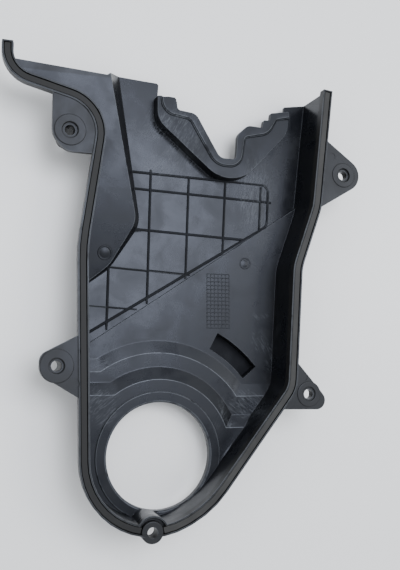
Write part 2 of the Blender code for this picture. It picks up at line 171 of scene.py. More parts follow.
@dataclass(frozen=True)
class Studio:
    """A plain pale table under soft light.

    Args:
        table: colour of the table top.
        table_roughness: how dull the table top is.
        half_size: half the width of the table top.
        sky: colour of the even light from all round.
        sky_strength: strength of that light.
        lamps: the lamps over the table.
    """

    table: Colour = (0.90, 0.90, 0.895, 1)
    table_roughness: float = 0.38
    half_size: float = 3.0
    sky: Colour = (0.93, 0.96, 1.0, 1)
    sky_strength: float = 1.08
    lamps: tuple[Lamp, ...] = (
        Lamp("window", (0.15, 0.26, 1.15), 0.60, 10.0, (0.89, 0.92, 1.0)),
        Lamp("side_window", (0.84, 0.20, 1.10), 0.42, 3.6, (1.0, 1.0, 0.96)),
    )

    def build(self) -> None:
        """Make the table, the lights and the surroundings."""
        self._table()
        self._surroundings()
        for lamp in self.lamps:
            lamp.build()

    def _table(self) -> bpy.types.Object:
        """Make a flat table top at the height that the cover lies on.

        Returns:
            The table top.
        """
        s = self.half_size
        mesh = bpy.data.meshes.new("table")
        mesh.from_pydata([(-s, -s, 0), (s, -s, 0), (s, s, 0), (-s, s, 0)], [], [(0, 1, 2, 3)])
        top = bpy.data.objects.new("table", mesh)
        bpy.context.scene.collection.objects.link(top)
        material = bpy.data.materials.new("table")
        material.use_nodes = True
        shader = material.node_tree.nodes["Principled BSDF"]
        shader.inputs["Base Color"].default_value = self.table
        shader.inputs["Roughness"].default_value = self.table_roughness
        mesh.materials.append(material)
        return top

    def _surroundings(self) -> None:
        """Light the scene evenly from all round."""
        world = bpy.data.worlds.new("surroundings")
        world.use_nodes = True
        background = world.node_tree.nodes["Background"]
        background.inputs["Color"].default_value = self.sky
        background.inputs["Strength"].default_value = self.sky_strength
        bpy.context.scene.world = world


@dataclass(frozen=True)
class Viewpoint:
    """The camera of the photograph, which looks down at the cover from its left.

    Args:
        plan: where the plan lies in the frame.
    """

    plan: Plan

    def build(self) -> None:
        """Make the camera and use it.

        The plumb line through the lens meets the picture at the nadir, which gives the direction that
        is down in the camera. The picture's sides are parallel to the frame's as far as that allows.
        """
        down = Vector(((NADIR_PX[0] - FRAME_PX[0] / 2) / FOCAL_PX,
                       (NADIR_PX[1] - FRAME_PX[1] / 2) / FOCAL_PX, 1.0)).normalized()
        up = -down
        right = (Vector((1, 0, 0)) - up * up.x).normalized()
        north = up.cross(right)
        to_world = Matrix((right, north, up))
        # A picture's axes run right, down and ahead, and a camera's run right, up and back
        turn = to_world @ Matrix(((1, 0, 0), (0, -1, 0), (0, 0, -1)))
        data = bpy.data.cameras.new("camera")
        data.sensor_width = SENSOR_MM
        data.lens = FOCAL_PX / max(FRAME_PX) * SENSOR_MM
        camera = bpy.data.objects.new("camera", data)
        bpy.context.scene.collection.objects.link(camera)
        place = self.plan.at(np.array([CAMERA_PLAN]), -CAMERA_HEIGHT)[0]
        camera.matrix_world = Matrix.Translation(place) @ turn.to_4x4()
        bpy.context.scene.camera = camera


class Recipe:
    """Adds nodes to one node tree and links them.

    Args:
        tree: the node tree of a material or of a node group.
    """

    def __init__(self, tree: bpy.types.NodeTree) -> None:
        """Keep the tree."""
        self.tree = tree

    def node(self, kind: str, **settings: object) -> bpy.types.Node:
        """Add one node.

        Args:
            kind: type of the node.
            settings: its settings by name.

        Returns:
            The node.
        """
        made = self.tree.nodes.new(kind)
        for name, value in settings.items():
            setattr(made, name, value)
        return made

    def feed(self, node: bpy.types.Node, socket: str | int, source: object) -> None:
        """Link a source to a socket, or set the socket to a plain value.

        Args:
            node: the node that takes it.
            socket: name or number of the socket.
            source: an output socket or a value.
        """
        if isinstance(source, bpy.types.NodeSocket):
            self.tree.links.new(source, node.inputs[socket])
        else:
            node.inputs[socket].default_value = source

    def math(self, operation: str, first: object, second: object = 0.0,
             clamp: bool = False) -> bpy.types.NodeSocket:
        """Work out one sum.

        Args:
            operation: which sum.
            first: a number or a socket.
            second: a number or a socket.
            clamp: whether the result is held between 0 and 1.

        Returns:
            The result.
        """
        node = self.node("ShaderNodeMath", operation=operation, use_clamp=clamp)
        self.feed(node, 0, first)
        self.feed(node, 1, second)
        return node.outputs[0]

    def times(self, first: object, second: object) -> bpy.types.NodeSocket:
        """Multiply two numbers."""
        return self.math("MULTIPLY", first, second)

    def plus(self, first: object, second: object, clamp: bool = False) -> bpy.types.NodeSocket:
        """Add two numbers, held between 0 and 1 if wanted."""
        return self.math("ADD", first, second, clamp)

    def smooth(self, value: object, low: object, high: object, to_low: float = 0.0,
               to_high: float = 1.0) -> bpy.types.NodeSocket:
        """Carry a number from one range to another, eased at both ends and held outside them.

        Args:
            value: the number.
            low: where the range starts.
            high: where the range ends.
            to_low: result at the start.
            to_high: result at the end.

        Returns:
            The eased number.
        """
        node = self.node("ShaderNodeMapRange", interpolation_type="SMOOTHSTEP")
        for socket, source in zip(("Value", "From Min", "From Max", "To Min", "To Max"),
                                  (value, low, high, to_low, to_high)):
            self.feed(node, socket, source)
        return node.outputs["Result"]

    def blend(self, share: object, first: object, second: object) -> bpy.types.NodeSocket:
        """Mix two colours.

        Args:
            share: how much there is of the second colour.
            first: a colour or a socket.
            second: a colour or a socket.

        Returns:
            The mixed colour.
        """
        node = self.node("ShaderNodeMix", data_type="RGBA")
        for socket, source in ((MIX_SHARE, share), (MIX_FIRST, first), (MIX_SECOND, second)):
            self.feed(node, socket, source)
        return node.outputs[MIX_RESULT]

    def noise(self, place: object, scale: object, detail: float = 3.0, roughness: float = 0.5,
              distortion: float = 0.0) -> bpy.types.NodeSocket:
        """Make cloudy noise between 0 and 1.

        Args:
            place: the position.
            scale: how many clouds there are in a metre.
            detail: how many finer layers are added.
            roughness: how strong the finer layers are.
            distortion: how much the clouds are twisted.

        Returns:
            The noise.
        """
        node = self.node("ShaderNodeTexNoise")
        for socket, source in zip(("Vector", "Scale", "Detail", "Roughness", "Distortion"),
                                  (place, scale, detail, roughness, distortion)):
            self.feed(node, socket, source)
        return node.outputs["Fac"]

    def placed(self, place: object, centre: tuple[float, float, float] = (0.0, 0.0, 0.0),
               scale: tuple[float, float, float] = (1.0, 1.0, 1.0),
               turn: object = 0.0) -> bpy.types.NodeSocket:
        """Centre and scale a position, and turn it about Z.

        Args:
            place: the position.
            centre: the point that becomes the origin.
            scale: how much each axis is scaled.
            turn: angle about Z, which comes after the scale.

        Returns:
            The new position.
        """
        node = self.node("ShaderNodeMapping", vector_type="POINT")
        angles = self.node("ShaderNodeCombineXYZ")
        self.feed(angles, "Z", turn)
        self.feed(node, "Vector", place)
        self.feed(node, "Location", [-size * middle for size, middle in zip(scale, centre)])
        self.feed(node, "Rotation", angles.outputs[0])
        self.feed(node, "Scale", scale)
        return node.outputs[0]

    def use(self, group: bpy.types.NodeTree, **inputs: object) -> bpy.types.Node:
        """Place a node group.

        Args:
            group: the group.
            inputs: its inputs by name.

        Returns:
            The group's node.
        """
        node = self.node("ShaderNodeGroup", node_tree=group)
        for name, source in inputs.items():
            self.feed(node, name, source)
        return node

    def bump(self, height: object, strength: float, distance: float) -> bpy.types.NodeSocket:
        """Turn a height into a normal.

        Args:
            height: the height, in parts of the distance.
            strength: how strongly it shows.
            distance: the height that 1 stands for.

        Returns:
            The normal.
        """
        node = self.node("ShaderNodeBump")
        for socket, source in (("Strength", strength), ("Distance", distance), ("Height", height)):
            self.feed(node, socket, source)
        return node.outputs["Normal"]


class Effects:
    """The effects that the finishes share, each a node group that is built once."""

    # Scale of the broad grain and of the clouds against the fine grain, and the fine grain's share
    BROAD_SCALE = 0.12
    CLOUD_SCALE = 0.035
    FINE_SHARE = 0.4

    # How far streaks are stretched, and how much broader than a streak the bare places between are
    STREAK_STRETCH = 0.16
    BARE_SCALE = 0.09

    # How many clouds there are in a metre of paled edge (partly abrasion, partly painted highlight), and
    # across a patch
    WEAR_AND_HIGHLIGHT_CLOUDS = 130.0
    PATCH_CLOUDS = 2.2

    # Where a patch starts to fade, as a share of its radius
    PATCH_CORE = 0.45

    # How many finer layers each noise has, how strong they are, and how much it is twisted
    FINE_NOISE = (2.0, 0.6, 0.0)
    BROAD_NOISE = (3.0, 0.55, 0.0)
    CLOUD_NOISE = (4.0, 0.6, 0.4)
    STREAK_NOISE = (4.0, 0.7, 2.4)
    BARE_NOISE = (2.0, 0.6, 0.8)
    PATCH_NOISE = (4.0, 0.6, 0.0)
    WEAR_AND_HIGHLIGHT_NOISE = (4.0, 0.65, 0.0)

    # Between which values of their noise the clouds and the streaks rise from 0 to 1
    CLOUD_RISE = (0.25, 0.75)
    STREAK_RISE = (0.44, 0.68)

    # Where a mark starts at an amount of 0, how much lower it starts at 1, and how wide its fade is
    RUB_LIMITS = (0.80, 0.6, 0.16)
    WEAR_AND_HIGHLIGHT_LIMITS = (0.75, 0.6, 0.2)

    def __init__(self) -> None:
        """Build each group once."""
        self.grain = self._grain()
        self.scuffs = self._scuffs()
        self.level = self._level()
        self.patch = self._patch()
        self.wear_and_highlight = self._wear_and_highlight()
        self.dust = self._dust()

    @staticmethod
    def _group(name: str, numbers: dict[str, float], outputs: tuple[str, ...],
               at_position: bool = True) -> tuple[Recipe, dict[str, bpy.types.NodeSocket], bpy.types.Node]:
        """Start a group with named inputs and outputs.

        Args:
            name: name of the group.
            numbers: its number inputs, each with its first value.
            outputs: names of the outputs, all numbers.
            at_position: whether it also takes a position.

        Returns:
            A recipe for the group's tree, its inputs by name and its output node.
        """
        tree = bpy.data.node_groups.new(name, "ShaderNodeTree")
        names = list(numbers)
        if at_position:
            tree.interface.new_socket("Vector", in_out="INPUT", socket_type="NodeSocketVector")
            names.append("Vector")
        for socket, value in numbers.items():
            made = tree.interface.new_socket(socket, in_out="INPUT", socket_type="NodeSocketFloat")
            made.default_value = value
        for socket in outputs:
            tree.interface.new_socket(socket, in_out="OUTPUT", socket_type="NodeSocketFloat")
        recipe = Recipe(tree)
        entry = recipe.node("NodeGroupInput")
        return recipe, {socket: entry.outputs[socket] for socket in names}, recipe.node("NodeGroupOutput")

    @staticmethod
    def _kept(recipe: Recipe, noise: bpy.types.NodeSocket, amount: bpy.types.NodeSocket,
              limits: tuple[float, float, float]) -> bpy.types.NodeSocket:
        """Keep only what lies where a noise is high: the larger the amount, the more is kept.

        Args:
            recipe: the group's recipe.
            noise: the noise.
            amount: how much is kept.
            limits: where it starts at an amount of 0, how much lower it starts at 1, and its fade.

        Returns:
            The mask.
        """
        start, fall, fade = limits
        low = recipe.math("SUBTRACT", start, recipe.times(amount, fall))
        return recipe.smooth(noise, low, recipe.plus(low, fade))

    def _grain(self) -> bpy.types.NodeTree:
        """Spark-eroded grain: fine noise over broad noise, and broader clouds.

        Returns:
            The group, which puts out a height and the clouds.
        """
        recipe, given, leave = self._group("mould_grain", {"Size": 0.0009}, ("Height", "Clouds"))
        place, fine = given["Vector"], recipe.math("DIVIDE", 1.0, given["Size"])
        small = recipe.noise(place, fine, *self.FINE_NOISE)
        broad = recipe.noise(place, recipe.times(fine, self.BROAD_SCALE), *self.BROAD_NOISE)
        clouds = recipe.noise(place, recipe.times(fine, self.CLOUD_SCALE), *self.CLOUD_NOISE)
        height = recipe.plus(recipe.times(small, self.FINE_SHARE), recipe.times(broad, 1 - self.FINE_SHARE))
        recipe.feed(leave, "Height", height)
        recipe.feed(leave, "Clouds", recipe.smooth(clouds, *self.CLOUD_RISE))
        return recipe.tree

    def _scuffs(self) -> bpy.types.NodeTree:
        """Pale rub marks: thin streaks along one direction, kept only where a broad noise is high.

        Returns:
            The group, which puts out a mask.
        """
        numbers = {"Turn": 0.0, "Cover": 0.5, "Fineness": 420.0}
        recipe, given, leave = self._group("scuffs", numbers, ("Mask",))
        place, fineness = given["Vector"], given["Fineness"]
        turned = recipe.placed(place, turn=given["Turn"])
        stretched = recipe.placed(turned, scale=(1.0, self.STREAK_STRETCH, 1.0))
        streak = recipe.noise(stretched, fineness, *self.STREAK_NOISE)
        cloud = recipe.noise(place, recipe.times(fineness, self.BARE_SCALE), *self.BARE_NOISE)
        lines = recipe.smooth(streak, *self.STREAK_RISE)
        kept = self._kept(recipe, cloud, given["Cover"], self.RUB_LIMITS)
        recipe.feed(leave, "Mask", recipe.math("MULTIPLY", lines, kept, clamp=True))
        return recipe.tree

    def _level(self) -> bpy.types.NodeTree:
        """1 between two heights and 0 outside them, with a short fade at both.

        Returns:
            The group, which puts out a mask.
        """
        recipe, given, leave = self._group("level", {"Low": 0.0, "High": 1.0, "Fade": 0.0002}, ("Mask",))
        low, high, fade = given["Low"], given["High"], given["Fade"]
        split = recipe.node("ShaderNodeSeparateXYZ")
        recipe.feed(split, 0, given["Vector"])
        above = recipe.smooth(split.outputs["Z"], recipe.math("SUBTRACT", low, fade), low)
        below = recipe.smooth(split.outputs["Z"], high, recipe.plus(high, fade), 1.0, 0.0)
        recipe.feed(leave, "Mask", recipe.times(above, below))
        return recipe.tree

    def _patch(self) -> bpy.types.NodeTree:
        """A soft oval patch in the plan: 1 at its centre, 0 at one radius, with a ragged edge.

        Returns:
            The group, which puts out a mask.
        """
        recipe, given, leave = self._group("patch", {"Ragged": 0.3}, ("Mask",))
        flat = recipe.node("ShaderNodeVectorMath", operation="MULTIPLY")
        recipe.feed(flat, 0, given["Vector"])
        recipe.feed(flat, 1, (1.0, 1.0, 0.0))
        length = recipe.node("ShaderNodeVectorMath", operation="LENGTH")
        recipe.feed(length, 0, flat.outputs[0])
        noise = recipe.noise(given["Vector"], self.PATCH_CLOUDS, *self.PATCH_NOISE)
        ragged = recipe.times(recipe.math("SUBTRACT", noise, 0.5), given["Ragged"])
        reach = recipe.plus(length.outputs["Value"], ragged)
        recipe.feed(leave, "Mask", recipe.smooth(reach, self.PATCH_CORE, 1.0, 1.0, 0.0))
        return recipe.tree

    def _wear_and_highlight(self) -> bpy.types.NodeTree:
        """Paled edges, partly abrasion and partly painted highlight: the edge mask, broken up by noise.

        Returns:
            The group, which puts out a mask.
        """
        recipe, given, leave = self._group("edge_wear_and_highlight", {"Edge": 0.0, "Amount": 0.5}, ("Mask",))
        noise = recipe.noise(given["Vector"], self.WEAR_AND_HIGHLIGHT_CLOUDS, *self.WEAR_AND_HIGHLIGHT_NOISE)
        broken = self._kept(recipe, noise, given["Amount"], self.WEAR_AND_HIGHLIGHT_LIMITS)
        recipe.feed(leave, "Mask", recipe.math("MULTIPLY", broken, given["Edge"], clamp=True))
        return recipe.tree

    def _dust(self) -> bpy.types.NodeTree:
        """Dust: a thin cloudy film, and what has settled in one place.

        Returns:
            The group, which puts out a mask.
        """
        numbers = {"Clouds": 0.0, "Film": 0.3, "Place": 0.0, "Settled": 0.5}
        recipe, given, leave = self._group("dust", numbers, ("Mask",), at_position=False)
        film = recipe.times(given["Clouds"], given["Film"])
        settled = recipe.times(given["Place"], given["Settled"])
        recipe.feed(leave, "Mask", recipe.plus(film, settled, clamp=True))
        return recipe.tree


@dataclass(frozen=True)
class Rub:
    """A rubbed place on the plastic.

    Args:
        centre: its middle in the plan.
        size: half its width and half its height.
        turn: direction of its streaks.
        cover: how much of it the streaks take.
    """

    centre: tuple[float, float]
    size: tuple[float, float]
    turn: float = 0.0
    cover: float = 0.0


@dataclass(frozen=True)
class MouldedPlastic:
    """Black moulded nylon: satin where the mould was polished, dull where it was milled, and rubbed pale.

    Args:
        plan: where the plan lies in the frame.
        effects: the shared node groups.
        black: the clean plastic.
        dusty: the plastic under dust.
        rubbed: the plastic where it is rubbed, also used as the painted highlight on its outward edges.
        painted_pocket_shade: near-black painted shade at the bottom of the timing pocket.
        sheen: tint of its reflections.
        specular: strength of its reflections.
        grain_size: size of its finest grain.
        film: how much dust the clouds bring.
        settled: how much dust lies on the rim.
        rub_show: how much the rubbed places show.
        edge_wear_and_highlight: how much of the outward edges is paled, partly as abrasion and partly as
            painted highlight.
        wear_and_highlight_show: how much the paled edges show, abrasion and painted highlight together.
        satin: roughness where it shines most.
        cloudy: how much the clouds add to the roughness.
        polish: how much smoother the upper floor is.
        rib_dullness: what the tops of the ribs add to the roughness.
        shelf_dullness: what the cam shelf adds.
        rim_dullness: what the rim adds.
        rub_dullness: what the rubbed places add.
        pocket_dullness: what the timing pocket adds.
        relief: strength of the bump.
        relief_height: height that the bump stands for.
        rub_relief: height of the rub marks against the grain.
        fineness: how many streaks there are in a metre.
        ragged: how ragged the rubbed places are.
        cam_shelf: where the cam shelf lies in the plan.
        upper_floor: depths between which the upper floor lies, the deeper one first, as in the next four.
        rib_tops: the same for the tops of the ribs.
        shelf: the same for the cam shelf.
        rim: the same for the rim.
        pocket: the same for the bottom of the timing pocket.
        rubs: the rubbed places.
    """

    plan: Plan
    effects: Effects
    black: Colour = (0.0036, 0.0042, 0.0058, 1)
    dusty: Colour = (0.017, 0.0165, 0.0145, 1)
    rubbed: Colour = (0.13, 0.14, 0.155, 1)
    painted_pocket_shade: Colour = (0.0008, 0.0008, 0.0012, 1)
    sheen: Colour = (0.82, 0.87, 1.0, 1)
    specular: float = 0.30
    grain_size: float = 0.0008
    film: float = 0.30
    settled: float = 0.55
    rub_show: float = 0.42
    edge_wear_and_highlight: float = 0.75
    wear_and_highlight_show: float = 0.5
    satin: float = 0.21
    cloudy: float = 0.20
    polish: float = 0.05
    rib_dullness: float = 0.48
    shelf_dullness: float = 0.14
    rim_dullness: float = 0.10
    rub_dullness: float = 0.14
    pocket_dullness: float = 0.4
    relief: float = 0.35
    relief_height: float = 0.00008
    rub_relief: float = 0.5
    fineness: float = 420.0
    ragged: float = 0.6
    cam_shelf: Rub = Rub((0.055, 0.262), (0.085, 0.060))
    upper_floor: tuple[float, float] = (0.0338, 0.0333)
    rib_tops: tuple[float, float] = (0.0331, 0.0321)
    shelf: tuple[float, float] = (0.0235, 0.0205)
    rim: tuple[float, float] = (0.0060, -0.0010)
    pocket: tuple[float, float] = (0.0450, 0.0375)
    rubs: tuple[Rub, ...] = (
        Rub((0.010, 0.236), (0.032, 0.040), 0.5, 0.80),
        Rub((0.080, 0.203), (0.018, 0.034), 0.15, 0.85),
        Rub((0.070, 0.036), (0.017, 0.013), -0.9, 0.80),
        Rub((-0.041, 0.038), (0.016, 0.018), 0.9, 0.70),
        Rub((-0.044, 0.066), (0.014, 0.008), 1.2, 0.80),
        Rub((0.054, 0.020), (0.014, 0.028), 0.6, 0.45),
        Rub((0.085, 0.085), (0.022, 0.030), -0.6, 0.40),
    )

    def build(self) -> bpy.types.Material:
        """Make the material.

        Returns:
            The material.
        """
        material = bpy.data.materials.new(Slot.PLASTIC.value)
        material.use_nodes = True
        recipe = Recipe(material.node_tree)
        shader = material.node_tree.nodes["Principled BSDF"]
        place = recipe.node("ShaderNodeTexCoord").outputs["Object"]
        edge = recipe.node("ShaderNodeAttribute", attribute_name=EDGE_ATTRIBUTE).outputs["Fac"]
        grain = recipe.use(self.effects.grain, Vector=place, Size=self.grain_size)
        clouds = grain.outputs["Clouds"]
        wear_and_highlight = recipe.use(self.effects.wear_and_highlight, Vector=place, Edge=edge, Amount=self.edge_wear_and_highlight).outputs["Mask"]
        rubs = self._rubs(recipe, place)
        rim = self._level(recipe, place, self.rim)
        pocket = self._level(recipe, place, self.pocket)
        dust = recipe.use(self.effects.dust, Clouds=clouds, Film=self.film, Place=rim, Settled=self.settled)
        # Pale from rub marks and from the outward edges, which carry abrasion and painted highlight together
        pale = recipe.plus(recipe.times(rubs, self.rub_show), recipe.times(wear_and_highlight, self.wear_and_highlight_show), clamp=True)
        colour = recipe.blend(dust.outputs["Mask"], self.black, self.dusty)
        colour = recipe.blend(pale, colour, self.rubbed)
        # The bottom of the timing pocket is painted near-black: painted shade for the deep recess.
        recipe.feed(shader, "Base Color", recipe.blend(pocket, colour, self.painted_pocket_shade))
        recipe.feed(shader, "Roughness", self._roughness(recipe, place, clouds, rim, rubs, pocket))
        recipe.feed(shader, "Specular IOR Level", self.specular)
        recipe.feed(shader, "Specular Tint", self.sheen)
        height = recipe.plus(grain.outputs["Height"], recipe.times(rubs, self.rub_relief))
        recipe.feed(shader, "Normal", recipe.bump(height, self.relief, self.relief_height))
        return material

    def _roughness(self, recipe: Recipe, place: bpy.types.NodeSocket, clouds: bpy.types.NodeSocket,
                   rim: bpy.types.NodeSocket, rubs: bpy.types.NodeSocket,
                   pocket: bpy.types.NodeSocket) -> bpy.types.NodeSocket:
        """Add up the roughness from the satin base and what each place changes.

        Args:
            recipe: the material's recipe.
            place: the position.
            clouds: the grain's clouds.
            rim: mask of the rim.
            rubs: mask of the rubbed places.
            pocket: mask of the timing pocket.

        Returns:
            The roughness.
        """
        shelf = recipe.times(self._level(recipe, place, self.shelf),
                             self._oval(recipe, place, self.cam_shelf, 0.0))
        upper = self._level(recipe, place, self.upper_floor)
        ribs = self._level(recipe, place, self.rib_tops)
        rough = recipe.plus(self.satin, recipe.times(clouds, self.cloudy))
        for mask, more in ((upper, -self.polish), (ribs, self.rib_dullness), (shelf, self.shelf_dullness),
                           (rim, self.rim_dullness), (rubs, self.rub_dullness)):
            rough = recipe.plus(rough, recipe.times(mask, more))
        return recipe.plus(rough, recipe.times(pocket, self.pocket_dullness), clamp=True)

    def _level(self, recipe: Recipe, place: bpy.types.NodeSocket,
               depths: tuple[float, float]) -> bpy.types.NodeSocket:
        """A mask for what lies between two depths under the rim, the deeper one first."""
        low, high = (self.plan.rim - depth for depth in depths)
        return recipe.use(self.effects.level, Vector=place, Low=low, High=high).outputs["Mask"]

    def _rubs(self, recipe: Recipe, place: bpy.types.NodeSocket) -> bpy.types.NodeSocket:
        """Put all rubbed places together: each is its patch times its streaks.

        Args:
            recipe: the material's recipe.
            place: the position.

        Returns:
            The mask.
        """
        total: object = 0.0
        for rub in self.rubs:
            patch = self._oval(recipe, place, rub, self.ragged)
            streaks = recipe.use(self.effects.scuffs, Vector=place, Turn=rub.turn, Cover=rub.cover,
                                 Fineness=self.fineness).outputs["Mask"]
            total = recipe.plus(total, recipe.times(patch, streaks), clamp=True)
        return total

    def _oval(self, recipe: Recipe, place: bpy.types.NodeSocket, rub: Rub,
              ragged: float) -> bpy.types.NodeSocket:
        """Mask one oval place in the plan.

        Args:
            recipe: the material's recipe.
            place: the position.
            rub: the oval place.
            ragged: how ragged its edge is.

        Returns:
            The mask.
        """
        centre = (rub.centre[0] + self.plan.x, rub.centre[1] + self.plan.y, 0.0)
        local = recipe.placed(place, centre, (1 / rub.size[0], 1 / rub.size[1], 1.0))
        return recipe.use(self.effects.patch, Vector=local, Ragged=ragged).outputs["Mask"]


@dataclass(frozen=True)
class GasketRubber:
    """Dull dark rubber with a fine skin and a little dust.

    Args:
        effects: the shared node groups.
        name: name of the material.
        clean: the clean rubber.
        dusty: the rubber under dust.
        roughness: roughness where it shines most.
        cloudy: how much the clouds add to the roughness.
        specular: strength of its reflections.
        grain_size: size of its finest grain.
        film: how much dust the clouds bring.
        edge_wear_and_highlight: how much of the edges is paled, partly as abrasion and partly as painted
            highlight.
        settled: how pale the abraded and painted-highlit edges are.
        relief: strength of the bump.
        relief_height: height that the bump stands for.
    """

    effects: Effects
    name: str
    clean: Colour
    dusty: Colour
    roughness: float = 0.55
    cloudy: float = 0.1
    specular: float = 0.32
    grain_size: float = 0.0012
    film: float = 0.5
    edge_wear_and_highlight: float = 0.6
    settled: float = 0.4
    relief: float = 0.4
    relief_height: float = 0.00008

    def build(self) -> bpy.types.Material:
        """Make the material.

        Returns:
            The material.
        """
        material = bpy.data.materials.new(self.name)
        material.use_nodes = True
        recipe = Recipe(material.node_tree)
        shader = material.node_tree.nodes["Principled BSDF"]
        place = recipe.node("ShaderNodeTexCoord").outputs["Object"]
        edge = recipe.node("ShaderNodeAttribute", attribute_name=EDGE_ATTRIBUTE).outputs["Fac"]
        grain = recipe.use(self.effects.grain, Vector=place, Size=self.grain_size)
        clouds = grain.outputs["Clouds"]
        wear_and_highlight = recipe.use(self.effects.wear_and_highlight, Vector=place, Edge=edge, Amount=self.edge_wear_and_highlight).outputs["Mask"]
        # The outward edges are paled through the dust mask: partly abrasion, partly painted highlight
        dust = recipe.use(self.effects.dust, Clouds=clouds, Film=self.film, Place=wear_and_highlight, Settled=self.settled)
        rough = recipe.plus(self.roughness, recipe.times(clouds, self.cloudy))
        recipe.feed(shader, "Base Color", recipe.blend(dust.outputs["Mask"], self.clean, self.dusty))
        recipe.feed(shader, "Roughness", rough)
        recipe.feed(shader, "Specular IOR Level", self.specular)
        bump = recipe.bump(grain.outputs["Height"], self.relief, self.relief_height)
        recipe.feed(shader, "Normal", bump)
        return material


@dataclass
class SoftenedCopy:
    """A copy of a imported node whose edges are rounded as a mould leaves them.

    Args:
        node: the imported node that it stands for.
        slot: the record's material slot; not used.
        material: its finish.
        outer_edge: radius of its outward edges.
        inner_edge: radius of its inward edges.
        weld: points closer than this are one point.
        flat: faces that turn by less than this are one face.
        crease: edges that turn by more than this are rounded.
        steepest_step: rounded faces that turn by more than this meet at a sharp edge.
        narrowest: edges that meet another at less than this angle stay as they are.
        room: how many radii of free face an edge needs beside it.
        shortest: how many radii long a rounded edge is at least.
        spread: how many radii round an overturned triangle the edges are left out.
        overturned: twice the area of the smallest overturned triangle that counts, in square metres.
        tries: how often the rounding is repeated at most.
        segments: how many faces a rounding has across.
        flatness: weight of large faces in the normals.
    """

    node: Part
    slot: Slot
    material: bpy.types.Material
    outer_edge: float = 0.00030
    inner_edge: float = 0.00050
    weld: float = 0.00003
    flat: float = math.radians(0.6)
    crease: float = math.radians(12.5)
    steepest_step: float = math.radians(50)
    narrowest: float = math.radians(30)
    room: float = 1.6
    shortest: float = 0.8
    spread: float = 2.2
    overturned: float = 2e-9
    tries: int = 12
    segments: int = 2
    flatness: int = 60

    def build(self) -> bpy.types.Object:
        """Copy the node, join its loose triangles and round its edges.

        Returns:
            The copy, which stands for the node.
        """
        mesh = bmesh.new()
        mesh.from_mesh(bpy.data.objects[self.node.value].data)
        bmesh.ops.remove_doubles(mesh, verts=mesh.verts, dist=self.weld)
        bmesh.ops.dissolve_degenerate(mesh, edges=mesh.edges, dist=self.weld)
        bmesh.ops.dissolve_limit(mesh, angle_limit=self.flat, verts=mesh.verts, edges=mesh.edges)
        mesh.faces.layers.float.new(EDGE_ATTRIBUTE)
        mesh.faces.layers.int.new(ROUNDED)
        mesh = self._rounded(mesh, self.inner_edge, False)
        mesh = self._rounded(mesh, self.outer_edge, True)
        self._sharpen(mesh)
        data = bpy.data.meshes.new(self.node.value + "_softened")
        mesh.to_mesh(data)
        mesh.free()
        piece = bpy.data.objects.new(data.name, data)
        bpy.context.scene.collection.objects.link(piece)
        data.materials.append(self.material)
        data.shade_smooth()
        normals = piece.modifiers.new("flat_faces_stay_flat", "WEIGHTED_NORMAL")
        normals.mode = "FACE_AREA"
        normals.weight = self.flatness
        normals.keep_sharp = True
        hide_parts(self.node.value)
        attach(piece, "root")
        return piece

    def _rounded(self, mesh: bmesh.types.BMesh, width: float, outward: bool) -> bmesh.types.BMesh:
        """Round the edges of one kind, and leave out those near any triangle that turns over.

        Args:
            mesh: the mesh, which is used up.
            width: radius of the edges.
            outward: whether the edges stick out.

        Returns:
            The rounded mesh.
        """
        mesh.verts.index_update()
        tree = KDTree(len(mesh.verts))
        for vertex in mesh.verts:
            tree.insert(vertex.co, vertex.index)
        tree.balance()
        left_out: set[int] = set()
        for attempt in range(self.tries):
            trial = mesh.copy()
            edges = [edge for edge in self._roundable(trial, width, outward)
                     if not any(vertex.index in left_out for vertex in edge.verts)]
            made = bmesh.ops.bevel(trial, geom=edges, offset=width, offset_type="OFFSET",
                                   segments=self.segments, profile=0.5, affect="EDGES",
                                   clamp_overlap=False, loop_slide=True)
            corners = self._overturned_corners(trial)
            if not corners or attempt == self.tries - 1:
                break
            for corner in corners:
                left_out.update(index for _, index, _ in tree.find_range(corner, self.spread * width))
            trial.free()
        rounded, worn_and_highlit = trial.faces.layers.int[ROUNDED], trial.faces.layers.float[EDGE_ATTRIBUTE]
        # Outward roundings are marked for paling: partly abrasion, partly painted highlight
        for face in made["faces"]:
            face[rounded] = 1
            face[worn_and_highlit] = float(outward)
        LOG.info("%s: rounded %d edges in %d tries", self.node.value, len(edges), attempt + 1)
        mesh.free()
        return trial

    def _sharpen(self, mesh: bmesh.types.BMesh) -> None:
        """Keep the edges sharp that had no room for a rounding.

        Args:
            mesh: the rounded mesh.
        """
        mesh.normal_update()
        rounded = mesh.faces.layers.int[ROUNDED]
        for edge in mesh.edges:
            if len(edge.link_faces) != 2:
                continue
            plain = not any(face[rounded] for face in edge.link_faces)
            edge.smooth = edge.calc_face_angle() < (self.crease if plain else self.steepest_step)

    def _overturned_corners(self, mesh: bmesh.types.BMesh) -> list[Vector]:
        """Find the triangles that face against the face they belong to.

        Args:
            mesh: the mesh.

        Returns:
            The places of all their corners.
        """
        mesh.normal_update()
        corners: list[Vector] = []
        for triangle in mesh.calc_loop_triangles():
            a, b, c = (loop.vert.co for loop in triangle)
            if (b - a).cross(c - a).dot(triangle[0].face.normal) < -self.overturned:
                corners += [a.copy(), b.copy(), c.copy()]
        return corners

    def _roundable(self, mesh: bmesh.types.BMesh, width: float, outward: bool) -> list[bmesh.types.BMEdge]:
        """Choose the edges that have room for a rounding.

        Args:
            mesh: the joined mesh.
            width: radius of the rounding.
            outward: whether the edges stick out.

        Returns:
            Edges that turn sharply, have free face beside them and meet no other at a narrow angle.
        """
        def turns(edge: bmesh.types.BMEdge) -> bool:
            """Whether the edge is long enough and turns sharply the right way.

            Args:
                edge: the edge.

            Returns:
                True where it is.
            """
            if len(edge.link_faces) != 2 or edge.calc_length() < self.shortest * width:
                return False
            angle = edge.calc_face_angle_signed()
            return angle > self.crease if outward else angle < -self.crease

